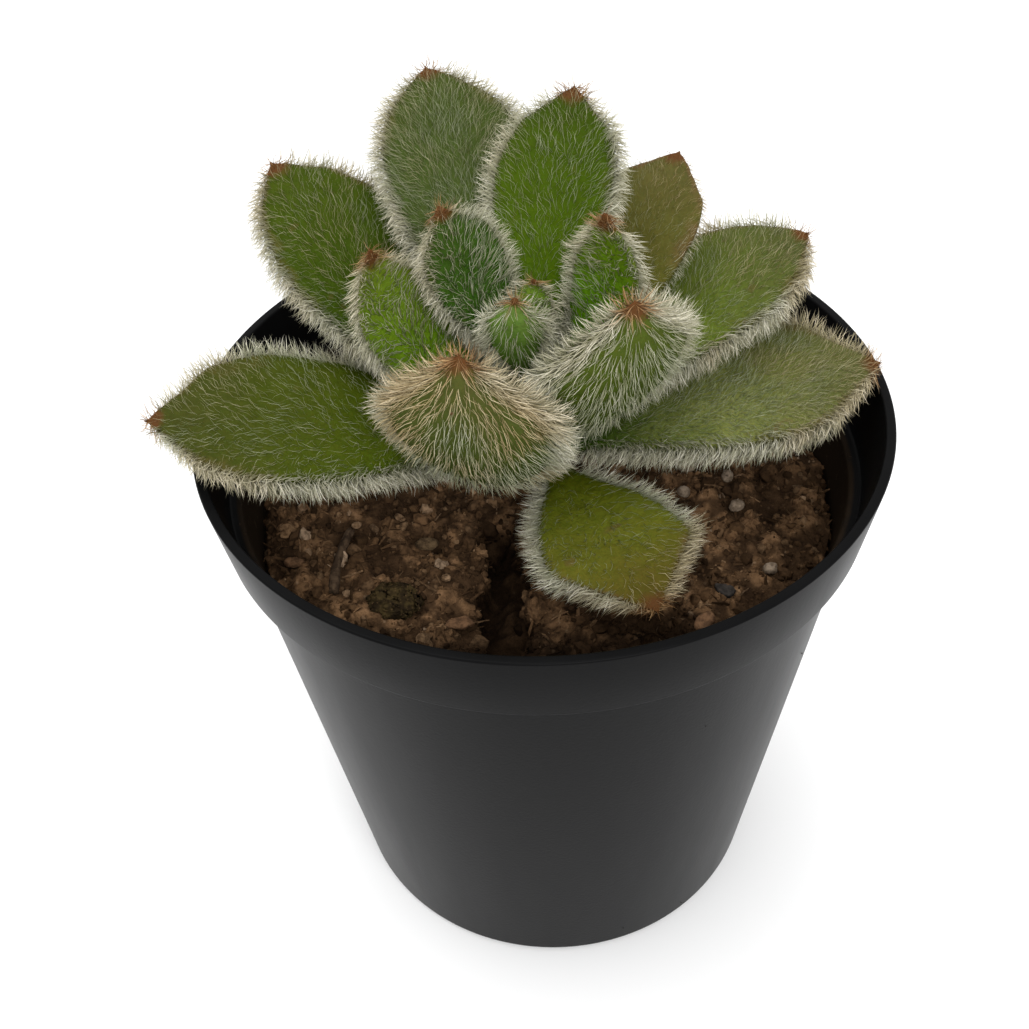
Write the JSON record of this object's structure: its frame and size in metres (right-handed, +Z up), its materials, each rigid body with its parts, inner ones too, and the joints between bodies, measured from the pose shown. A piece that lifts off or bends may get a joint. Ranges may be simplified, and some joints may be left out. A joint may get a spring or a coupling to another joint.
{
  "type": "potted succulent",
  "caption": "Small hairy rosette succulent with spoon-shaped leaves, planted in potting mix in a round tapered nursery pot with a banded rim.",
  "frame": {"origin": "centre of the pot's flat underside, on the surface it stands on", "axes": "+Z is up; -Y is the front, where the lowest leaf droops onto the mix; +X is to the right seen from the front"},
  "size_m": [0.0574, 0.055, 0.0694],
  "materials": {
    "pot_plastic": "charcoal moulded polypropylene, satin outside, dusty with mix inside",
    "potting_mix": "loose brown potting mix of bark fines, coir and peat",
    "mossy_mix": "clod of mix with an olive bloom of moss",
    "pale_stone": "pale matt grit",
    "tan_grit": "small tan grains of grit",
    "slate": "dark slate chip",
    "bark": "dry brown bark chips and a grey-brown twig",
    "stem_skin": "green-brown stem with soft hair",
    "old_leaf": "olive green fleshy leaf, brown at the tip, covered in fine pale hair",
    "grown_leaf": "bright green fleshy leaf covered in fine pale hair",
    "young_leaf": "young green leaf densely covered in long pale hair",
    "dry_leaf": "dull brown-olive ageing leaf with little hair"
  },
  "bodies": {
    "root": {"bark_chip_front": "bark", "bark_chip_left": "bark", "bark_flake": "bark", "buff_pebble": "pale_stone", "grey_stone": "pale_stone", "leaf_01_front_drooping": "old_leaf", "leaf_02_left": "old_leaf", "leaf_03_right": "grown_leaf", "leaf_04_right_back": "old_leaf", "leaf_05_left_back": "grown_leaf", "leaf_06_front_left": "young_leaf", "leaf_07_back_dry": "dry_leaf", "leaf_08_front_right": "young_leaf", "leaf_09_left_upright": "young_leaf", "leaf_10_back_left": "old_leaf", "leaf_11_right_upright": "young_leaf", "leaf_12_back_right": "grown_leaf", "leaf_13_back_upright": "young_leaf", "leaf_14_heart_front": "young_leaf", "leaf_15_heart_back": "young_leaf", "mossy_clod": "mossy_mix", "pale_stone_1": "pale_stone", "pale_stone_2": "pale_stone", "pale_stone_3": "pale_stone", "pale_stone_4": "pale_stone", "pot": "pot_plastic", "slate_chip": "slate", "soil": "potting_mix", "stem": "stem_skin", "tan_grain_1": "tan_grit", "tan_grain_2": "tan_grit", "tan_grain_3": "tan_grit", "tan_grain_4": "tan_grit", "twig": "bark"}
  },
  "joints": []
}
